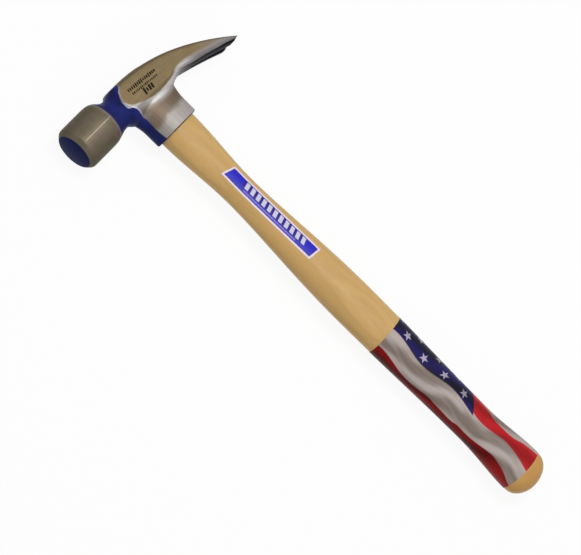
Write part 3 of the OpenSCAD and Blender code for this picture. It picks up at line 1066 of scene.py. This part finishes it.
@dataclass(frozen=True)
class GripPrint:
    """Finish of the grip film: a plain flag pattern of small stars and wavy stripes.

    Places run along the film from its top, and round it from the middle of its upper side. Late
    names what lies past the blue field, and near the white stripe next to the middle line.
    """

    top: float = -245.4
    radius: float = 14.3
    width_share: float = HandleShape.width_share
    navy: Color = paint(34, 28, 90)
    navy_dark: Color = paint(20, 16, 28)
    red: Color = paint(190, 34, 40)
    red_fold: Color = paint(146, 24, 28)
    shaded_red: Color = paint(128, 12, 8)
    shaded_fold: Color = paint(78, 4, 4)
    white: Color = paint(184, 172, 167)
    white_fold: Color = paint(122, 109, 100)
    star: Color = paint(180, 172, 190)
    shaded: Span = (7.0, 14.0)
    late_light: float = 0.4
    late_light_start: Span = (104.0, 120.0)
    blur: float = 0.45
    canton: float = 80.3
    canton_slant: float = 0.66
    canton_far: float = 34.0
    canton_blur: float = 0.3
    stripe: float = 14.0
    overlap: float = 0.8
    wave_start: float = 3.0
    wave_length: float = 56.0
    wave_height: float = 1.9
    late_red: Points = (
        (74.0, 16.0), (89.0, 11.0), (95.0, 8.2), (104.0, 7.2), (113.0, 7.1), (121.0, 9.2), (136.0, 11.0),
    )
    near_drift: Points = (
        (0.0, 0.0), (20.0, -0.5), (44.0, -1.0), (52.0, -1.8), (60.0, -2.9), (67.0, -2.6), (74.0, -1.1),
        (82.0, 1.2), (98.0, 1.5), (108.0, 1.5), (116.0, 0.6), (124.0, -0.2), (132.0, -2.2), (142.0, -3.6),
    )
    late_white: Points = (
        (90.0, 0.8), (100.0, 0.1), (109.0, -0.3), (118.0, -1.4), (128.0, -1.8), (139.0, -2.2),
    )
    late_stripe: float = 9.0
    fold_width: float = 15.0
    fold_length: float = 70.0
    fold_drift: float = 5.0
    fold_share: float = 0.5
    streak_share: float = 1.4
    fold_blur: float = 0.7
    drift: Grain = Grain(0.03, 0.07, 1.0)
    streak: Grain = Grain(0.025, 0.25, 1.0)
    speck: Grain = Grain(0.4, 0.08, 0.4, 3.0)
    star_along: float = 19.0
    star_across: float = 9.0
    star_size: float = 3.9
    star_points: int = 5
    star_dent: float = 0.4
    star_turn: float = 0.35
    centre_guard: float = 0.0001
    star_blur: Span = (-0.05, 0.15)
    star_share: Span = (0.6, 1.0)
    rough: Span = (0.28, 0.38)
    gloss: float = 0.09
    relief_depth: float = 0.08

    def star_mask(self, plan: SurfacePlan, u: Term, v: Term) -> Term:
        """Give 1 inside five-pointed stars set in staggered rows.

        Args:
            plan: The material.
            u: Place along the film.
            v: Place round the film.

        Returns:
            The mask.
        """
        row = plan.math("FLOOR", v / self.star_across)
        shifted = u + (row % 2.0) * self.star_along / 2
        across = v % self.star_across - self.star_across / 2
        along = shifted % self.star_along - self.star_along / 2
        reach = (across * across + along * along) ** 0.5
        turn = plan.math("ARCTAN2", along, across + self.centre_guard) + self.star_turn
        point = TURN / self.star_points
        fold = abs((turn + TURN) % point - point / 2)
        tip = Vector((self.star_size, 0.0))
        dent = Vector((math.cos(point / 2), math.sin(point / 2))) * self.star_size * self.star_dent
        edge = dent - tip
        normal = Vector((edge.y, -edge.x)).normalized()
        if normal.dot(tip) < 0:
            normal = -normal
        place = reach * plan.math("COSINE", fold) * normal.x + reach * plan.math("SINE", fold) * normal.y
        return plan.smooth(normal.dot(tip) - place, *self.star_blur)

    def between(self, plan: SurfacePlan, value: Term, low: float, high: float) -> Term:
        """Give 1 where the value lies between two soft edges."""
        return plan.within(value, low - self.blur, high + self.blur, 2 * self.blur)

    def on_white(
        self, plan: SurfacePlan, u: Term, v: Term, flow: Term, near_side: Term, past: Term
    ) -> Term:
        """Give 1 on the white stripes.

        Args:
            plan: The material.
            u: Place along the film.
            v: Place round the film.
            flow: Place across the waving stripes.
            near_side: The same, measured from the nearest red stripe's own edge.
            past: 1 below the blue field.

        Returns:
            The mask.
        """
        far = self.between(plan, flow, -3 * self.stripe, -2 * self.stripe)
        near = plan.smooth(near_side + self.stripe, -self.blur, self.blur)
        early = plan.most(near * plan.smooth(self.overlap - flow, -self.blur, self.blur), far)
        near = near * plan.smooth(plan.curve(u, self.late_white) - flow, -self.blur, self.blur)
        rest = v - plan.curve(u, self.late_red)
        late = plan.most(self.between(plan, rest, 0.0, self.late_stripe), near, far)
        late = plan.most(late, self.between(plan, rest, 2 * self.late_stripe, 3 * self.late_stripe))
        return early * (1 - past) + late * past

    def material(self, datum: Datum) -> bpy.types.Material:
        """Build the material."""
        plan = SurfacePlan("grip_print", datum)
        u = self.top - plan.y
        v = plan.math("ARCTAN2", plan.x, plan.z / self.width_share) * self.radius
        phase = (u - self.wave_start) * (TURN / self.wave_length)
        flow = v - plan.math("COSINE", phase) * self.wave_height
        spot = plan.vector(u, flow, 0.0)
        drift = plan.grain(self.drift, spot)
        streak = plan.grain(self.streak, spot)
        swing = flow * (TURN / self.fold_width) - u * (TURN / self.fold_length) + drift * self.fold_drift
        swell = plan.math("SINE", swing) * self.fold_share + (streak - 0.5) * self.streak_share
        light = plan.smooth(swell, -self.fold_blur, self.fold_blur)

        near_side = flow - plan.curve(u, self.near_drift)
        past = plan.smooth(u + v * self.canton_slant - self.canton, -self.canton_blur, self.canton_blur)
        in_canton = (1 - past) * self.between(plan, flow, 0.0, self.canton_far)
        shaded = plan.smooth(-near_side, *self.shaded)
        shaded = shaded * (1 - plan.smooth(u, *self.late_light_start) * self.late_light)
        red = plan.mix(light, self.red_fold, self.red)
        red = plan.mix(shaded, red, plan.mix(light, self.shaded_fold, self.shaded_red))
        white = plan.mix(light, self.white_fold, self.white)
        tone = plan.mix(self.on_white(plan, u, v, flow, near_side, past), red, white)
        tone = plan.mix(in_canton, tone, plan.mix(light, self.navy_dark, self.navy))
        stars = in_canton * self.star_mask(plan, u, flow) * plan.along(light, self.star_share)
        tone = plan.mix(stars, tone, self.star)

        speck = plan.grain(self.speck)
        return plan.finish(
            {
                "Base Color": tone,
                "Roughness": plan.along(speck, self.rough),
                "Specular IOR Level": self.gloss,
            },
            speck,
            self.relief_depth,
        )


class Mender:
    """Mesh chores that several pieces share."""

    merge_reach: float = 0.002
    sheet_crease: float = 60.0

    @staticmethod
    def copy_of(node: str, name: str, frame: Mapping[str, object]) -> bpy.types.Object:
        """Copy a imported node's mesh, with its loose triangles merged."""
        mesh = frame["nodes"][node].data.copy()
        mesh.name = name
        with edited(mesh) as work:
            bmesh.ops.remove_doubles(work, verts=work.verts, dist=Mender.merge_reach * MM)
        return linked(name, mesh)

    @staticmethod
    def applied(piece: bpy.types.Object) -> None:
        """Turn the piece's modifiers into its mesh."""
        bpy.context.view_layer.update()
        made = piece.evaluated_get(bpy.context.evaluated_depsgraph_get())
        mesh = bpy.data.meshes.new_from_object(made)
        piece.modifiers.clear()
        old = piece.data
        piece.data = mesh
        mesh.name = piece.name
        bpy.data.meshes.remove(old)

    @staticmethod
    def coated(piece: bpy.types.Object, material: bpy.types.Material) -> None:
        """Give every face of a piece one material."""
        piece.data.materials.clear()
        piece.data.materials.append(material)
        for face in piece.data.polygons:
            face.material_index = 0

    @staticmethod
    def closed(piece: bpy.types.Object, sharp: float) -> None:
        """Fill the open rims, turn the faces outwards and crease edges past an angle in degrees."""
        with edited(piece.data) as work:
            rims = [edge for edge in work.edges if edge.is_boundary]
            if rims:
                bmesh.ops.holes_fill(work, edges=rims, sides=0)
            bmesh.ops.recalc_face_normals(work, faces=work.faces)
            for face in work.faces:
                face.smooth = True
        piece.data.set_sharp_from_angle(angle=math.radians(sharp))

    @staticmethod
    def thickened(piece: bpy.types.Object, thickness: float) -> None:
        """Give a sheet its thickness in millimetres, inwards from the side that shows."""
        wall = piece.modifiers.new("wall", "SOLIDIFY")
        wall.thickness = thickness * MM
        wall.offset = -1.0
        Mender.applied(piece)
        Mender.closed(piece, Mender.sheet_crease)


@dataclass(frozen=True)
class MarkRow:
    """A row of plain punched bars on the cheek: the first bar's place, the step and one bar's size."""

    name: str
    count: int
    start: Span
    pitch: Span
    width: float
    height: float


@dataclass
class Head:
    """The forged head, remeshed fine so that its edges are eased as a forging's are."""

    datum: Datum
    steel: ForgedSteel
    voxel: float = 0.53
    smoothing: int = 5
    smoothing_share: float = 0.5
    crease: float = 50.0
    mark_depth: float = 0.35
    mark_lean: float = -12.0
    mark_wear: tuple[Triple, Triple] = ((0.8, 0.5, 1.0), (1.2, 1.0, 1.0))
    mark_rows: tuple[MarkRow, ...] = (
        MarkRow("marks_upper", 15, (-12.6, 3.2), (1.76, -0.17), 1.2, 3.3),
        MarkRow("marks_middle", 16, (-11.8, -0.5), (1.52, -0.15), 0.95, 2.0),
        MarkRow("marks_lower", 4, (-3.9, -5.0), (2.4, -0.2), 1.6, 5.2),
    )

    def marks(self, row: MarkRow) -> bpy.types.Object:
        """Make a row of punches, as one mesh, that cut plain bars into the cheek."""
        plan = FormPlan(
            row.name,
            {
                "Count": row.count,
                "Width": row.width * MM,
                "Height": row.height * MM,
                "Depth": self.mark_depth * MM,
                "Lean": self.mark_lean,
            },
        )
        line = plan.node("GeometryNodeMeshLine", None, {"Count": plan.size("Count")})
        line.inputs["Start Location"].default_value = self.datum.at(*row.start, self.steel.cheek_flat)
        line.inputs["Offset"].default_value = Vector((*row.pitch, 0.0)) * MM
        size = plan.vector(plan.size("Width"), plan.size("Height"), plan.size("Depth") * 2)
        punch = Wire(plan, plan.node("GeometryNodeMeshCube", None, {"Size": size}).outputs[0])
        turn = plan.vector(0.0, 0.0, plan.size("Lean") * (TURN / 360))
        least, most = self.mark_wear
        worn = plan.node(
            "FunctionNodeRandomValue", {"data_type": "FLOAT_VECTOR"}, {"Min": least, "Max": most}
        )
        worn.inputs["Seed"].default_value = row.count
        spread = plan.node(
            "GeometryNodeInstanceOnPoints",
            None,
            {
                "Points": Wire(plan, line.outputs[0]),
                "Instance": punch,
                "Rotation": turn,
                "Scale": Wire(plan, worn.outputs[0]),
            },
        )
        return plan.grown(row.name, Wire(plan, spread.outputs[0]), bpy.data.materials.new(row.name))

    def build(self, frame: Mapping[str, object]) -> bpy.types.Object:
        """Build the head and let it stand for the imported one."""
        piece = Mender.copy_of("head", "forged_head", frame)
        remesh = piece.modifiers.new("grain", "REMESH")
        remesh.mode = "VOXEL"
        remesh.voxel_size = self.voxel * MM
        ease = piece.modifiers.new("ease", "SMOOTH")
        ease.factor = self.smoothing_share
        ease.iterations = self.smoothing
        rows = [self.marks(row) for row in self.mark_rows]
        for row in rows:
            cut = piece.modifiers.new(row.name, "BOOLEAN")
            cut.operation = "DIFFERENCE"
            cut.solver = "EXACT"
            cut.object = row
        Mender.applied(piece)
        for row in rows:
            bpy.data.objects.remove(row)
        Mender.coated(piece, self.steel.material(self.datum))
        Mender.closed(piece, self.crease)
        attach(piece, "root")
        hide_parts("head")
        return piece


@dataclass
class Handle:
    """The wooden handle: a shaft grown by the section's rule, and the tenon with its wedge slots."""

    datum: Datum
    shape: HandleShape
    wood: Hickory
    rows: int = 420
    columns: int = 97
    dome_share: float = 0.1
    weld: float = 0.005
    crease: float = 50.0
    tenon_crease: float = 30.0
    tenon_lift: float = 0.01

    def shaft(self, material: bpy.types.Material) -> bpy.types.Object:
        """Grow the shaft from under the collar to the rounded butt."""
        plan = FormPlan(
            "handle_shaft",
            {
                "Rows": self.rows,
                "Columns": self.columns,
                "Dome share": self.dome_share,
                **self.shape.sizes(),
            },
        )
        grid, along, across = plan.grid("Rows", "Columns")
        dome = plan.size("Dome share")
        straight = plan.least(along / (1 - dome), 1.0)
        rounding = plan.most((along - (1 - dome)) / dome, 0.0) * (TURN / 4)
        seat, dome_place = plan.size("Seat place"), plan.size("Dome place")
        reach = plan.size("Butt place") - dome_place
        y = seat + (dome_place - seat) * straight + reach * plan.math("SINE", rounding)
        half = self.shape.half(plan, y) * plan.math("COSINE", rounding)
        x, z = self.shape.ring(plan, half, across * TURN)
        moved = plan.moved(grid, self.shape.place(plan, self.datum, x, y, z))
        return plan.grown("handle_wood", plan.welded(moved, self.weld * MM), material)

    def tenon(self, frame: Mapping[str, object]) -> bpy.types.Object:
        """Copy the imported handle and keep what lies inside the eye."""
        piece = Mender.copy_of("handle", "tenon", frame)
        with edited(piece.data) as work:
            bmesh.ops.bisect_plane(
                work,
                geom=[*work.verts, *work.edges, *work.faces],
                plane_co=self.datum.at(0.0, self.tenon_lift - self.shape.collar_depth, 0.0),
                plane_no=(0.0, 1.0, 0.0),
                clear_inner=True,
            )
        Mender.closed(piece, self.tenon_crease)
        return piece

    def build(self, frame: Mapping[str, object]) -> bpy.types.Object:
        """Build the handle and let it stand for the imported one."""
        material = self.wood.material(self.datum)
        piece = self.shaft(material)
        Mender.closed(piece, self.crease)
        tenon = self.tenon(frame)
        with edited(piece.data) as work:
            work.from_mesh(tenon.data)
        bpy.data.objects.remove(tenon)
        Mender.coated(piece, material)
        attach(piece, "root")
        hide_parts("handle")
        return piece


@dataclass
class Label:
    """The printed label, a thin patch that follows the wood."""

    datum: Datum
    shape: HandleShape
    ink: LabelPrint
    lift: float = 0.2
    thickness: float = 0.15
    rows: int = 130
    columns: int = 25

    def build(self) -> bpy.types.Object:
        """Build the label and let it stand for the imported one."""
        ink = self.ink
        plan = FormPlan(
            "handle_label",
            {
                "Rows": self.rows,
                "Columns": self.columns,
                "Long": ink.long,
                "Wide": ink.wide,
                "Top": ink.top,
                "Shift": ink.shift,
                "Slant": ink.slant,
                "Foot slant": ink.foot_slant,
                "Lift": self.lift,
                **self.shape.sizes(),
            },
        )
        grid, along, across = plan.grid("Rows", "Columns")
        side = across - 0.5
        slant = plan.size("Slant") + (plan.size("Foot slant") - plan.size("Slant")) * along
        x = plan.size("Shift") + plan.size("Wide") * side
        y = plan.size("Top") - plan.size("Long") * along - slant * side
        half = self.shape.half(plan, y) + plan.size("Lift")
        wide = half * plan.size("Width share") + plan.size("Lift") * (1 - plan.size("Width share"))
        power = plan.size("Oval power")
        z = wide * (1 - (abs(x) / half) ** power) ** (1 / power)
        moved = plan.moved(grid, self.shape.place(plan, self.datum, x, y, z))
        piece = plan.grown("label_print", moved, ink.material(self.datum))
        Mender.thickened(piece, self.thickness)
        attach(piece, "root")
        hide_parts("handle_label")
        return piece


@dataclass
class GripFilm:
    """The printed film, a thin sleeve shrunk round the grip."""

    datum: Datum
    shape: HandleShape
    ink: GripPrint
    long: float = 134.0
    lift: float = 0.32
    thickness: float = 0.24
    reach: float = 1.6
    rise: float = 0.6
    foot_bulge: float = 1.4
    ripple: float = 0.06
    ripple_pitch: float = 0.12
    ripple_stretch: float = 0.4
    weld: float = 0.005
    rows: int = 270
    columns: int = 121

    def build(self) -> bpy.types.Object:
        """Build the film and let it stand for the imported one."""
        ink = self.ink
        plan = FormPlan(
            "grip_film",
            {
                "Rows": self.rows,
                "Columns": self.columns,
                "Long": self.long,
                "Top": ink.top,
                "Lift": self.lift,
                "Reach": self.reach,
                "Rise": self.rise,
                "Foot bulge": self.foot_bulge,
                "Ripple": self.ripple,
                **self.shape.sizes(),
            },
        )
        grid, along, across = plan.grid("Rows", "Columns")
        turn = across * TURN
        top = plan.size("Top") + plan.size("Reach") + plan.size("Rise") * plan.math("SINE", turn)
        front = plan.math("COSINE", turn)
        foot = plan.size("Top") - plan.size("Long") - plan.size("Foot bulge") * front * front
        y = top + (foot - top) * along
        half = self.shape.half(plan, y)
        x, z = self.shape.ring(plan, half, turn)
        pitch = self.ripple_pitch
        crease = plan.noise(plan.vector(x * pitch, y * pitch * self.ripple_stretch, z * pitch)) - 0.5
        x, z = self.shape.ring(plan, half, turn, plan.size("Lift") + plan.size("Ripple") * crease)
        moved = plan.moved(grid, self.shape.place(plan, self.datum, x, y, z))
        piece = plan.grown("grip_print", plan.welded(moved, self.weld * MM), ink.material(self.datum))
        Mender.thickened(piece, self.thickness)
        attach(piece, "root")
        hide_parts("grip_film")
        return piece


@dataclass
class Wedges:
    """The wooden wedge and the two steel ones, dressed where they are packed."""

    datum: Datum
    wood: WedgeWood
    steel: WedgeSteel

    def dress(self, frame: Mapping[str, object]) -> list[bpy.types.Object]:
        """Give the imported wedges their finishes, and return them."""
        wood = self.wood.material(self.datum)
        steel = self.steel.material(self.datum)
        finishes = {"wood_wedge": wood, "front_steel_wedge": steel, "rear_steel_wedge": steel}
        for node, material in finishes.items():
            Mender.coated(frame["nodes"][node], material)
        return [frame["nodes"][node] for node in finishes]


class Lamp(Enum):
    """The studio's soft lamps: place and aim in the hammer's millimetres, long and short side, power."""

    KEY = ((260.0, 0.0, 1560.0), (-20.0, -170.0, 0.0), (900.0, 420.0), 15.0)
    FILL = ((-700.0, -900.0, 1300.0), (0.0, -170.0, 0.0), (1200.0, 1200.0), 4.0)


@dataclass
class Studio:
    """Camera, floor, lamps and sky round the hammer."""

    datum: Datum
    yaw: float = 24.94
    tilt: float = 4.76
    roll: float = 45.22
    target: Triple = (-19.77, -167.69, 0.0)
    distance: float = 1998.49
    focal_pixels: float = 2871.36
    frame_pixels: float = 581.0
    sensor: float = 36.0
    view_reach: float = 20.0
    floor_reach: float = 3.0
    floor_color: Color = (0.92, 0.92, 0.92, 1.0)
    floor_lift: float = 0.92
    sky_color: Color = (1.0, 1.0, 1.0, 1.0)
    sky_level: float = 0.3

    def camera(self) -> None:
        """Place the camera where the photograph was taken."""
        yaw, tilt, roll = (math.radians(angle) for angle in (self.yaw, self.tilt, self.roll))
        back = Vector((-math.sin(yaw) * math.cos(tilt), math.sin(tilt), math.cos(yaw) * math.cos(tilt)))
        level_up = (Vector((0.0, 1.0, 0.0)) - back * back.y).normalized()
        level_right = level_up.cross(back)
        right = level_right * math.cos(roll) - level_up * math.sin(roll)
        up = level_right * math.sin(roll) + level_up * math.cos(roll)
        lens = bpy.data.cameras.new("view")
        lens.sensor_fit = "HORIZONTAL"
        lens.sensor_width = self.sensor
        lens.lens = self.focal_pixels * self.sensor / self.frame_pixels
        lens.clip_end = self.view_reach
        holder = linked("view", lens)
        place = self.datum.at(*self.target) + back * self.distance * MM
        turned = Matrix((right, up, back)).transposed().to_4x4()
        holder.matrix_world = Matrix.Translation(place) @ turned
        bpy.context.scene.camera = holder

    @staticmethod
    def seen(plan: Plan) -> Term:
        """Give 1 for the rays that show the background, straight or by reflection."""
        path = plan.node("ShaderNodeLightPath")
        rays = (Term(plan, path.outputs[f"Is {kind} Ray"]) for kind in ("Camera", "Glossy", "Transmission"))
        return plan.most(*rays)

    def floor(self) -> None:
        """Lay the pale floor."""
        mesh = bpy.data.meshes.new("floor")
        with edited(mesh) as work:
            bmesh.ops.create_grid(work, x_segments=1, y_segments=1, size=self.floor_reach)
        material = bpy.data.materials.new("floor_white")
        material.use_nodes = True
        plan = Plan(material.node_tree)
        plan.tree.nodes.clear()
        matt = Wire(plan, plan.node("ShaderNodeBsdfDiffuse", None, {"Color": self.floor_color}).outputs[0])
        glow = Wire(plan, plan.node("ShaderNodeEmission", None, {"Strength": 1.0}).outputs[0])
        lift = self.seen(plan) * self.floor_lift
        mixed = plan.node("ShaderNodeMixShader", None, {0: lift, 1: matt, 2: glow})
        plan.node("ShaderNodeOutputMaterial", None, {"Surface": Wire(plan, mixed.outputs[0])})
        mesh.materials.append(material)
        floor = linked("floor", mesh)

    def lamps(self) -> None:
        """Hang the soft lamps."""
        for lamp in Lamp:
            place, aim, size, power = lamp.value
            light = bpy.data.lights.new(lamp.name.lower(), "AREA")
            light.shape = "RECTANGLE"
            light.size, light.size_y = (side * MM for side in size)
            light.energy = power
            holder = linked(lamp.name.lower(), light)
            start = self.datum.at(*place)
            turned = (self.datum.at(*aim) - start).to_track_quat("-Z", "Y").to_matrix().to_4x4()
            holder.matrix_world = Matrix.Translation(start) @ turned

    def sky(self) -> None:
        """Make the world white to look at and modest as a light."""
        world = bpy.data.worlds.new("sky")
        world.use_nodes = True
        plan = Plan(world.node_tree)
        plan.tree.nodes.clear()
        level = self.seen(plan) * (1 - self.sky_level) + self.sky_level
        glow = plan.node("ShaderNodeBackground", None, {"Color": self.sky_color, "Strength": level})
        plan.node("ShaderNodeOutputWorld", None, {"Surface": Wire(plan, glow.outputs[0])})
        bpy.context.scene.world = world

    def build(self) -> None:
        """Set the whole studio up."""
        bpy.context.scene.view_settings.view_transform = "Standard"
        self.camera()
        self.floor()
        self.lamps()
        self.sky()


def main() -> None:
    """Build the hammer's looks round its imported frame."""
    logging.basicConfig(level=logging.INFO, format="%(message)s")
    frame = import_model()
    datum = Datum.from_frame()
    shape = HandleShape()
    Studio(datum).build()
    pieces = (
        Head(datum, ForgedSteel()).build(frame),
        Handle(datum, shape, Hickory()).build(frame),
        Label(datum, shape, LabelPrint()).build(),
        GripFilm(datum, shape, GripPrint()).build(),
        *Wedges(datum, WedgeWood(), WedgeSteel()).dress(frame),
    )
    for piece in pieces:
        triangles = sum(len(face.vertices) - 2 for face in piece.data.polygons)
        LOG.info("%s: %d triangles", piece.name, triangles)


if __name__ == "__main__":
    main()
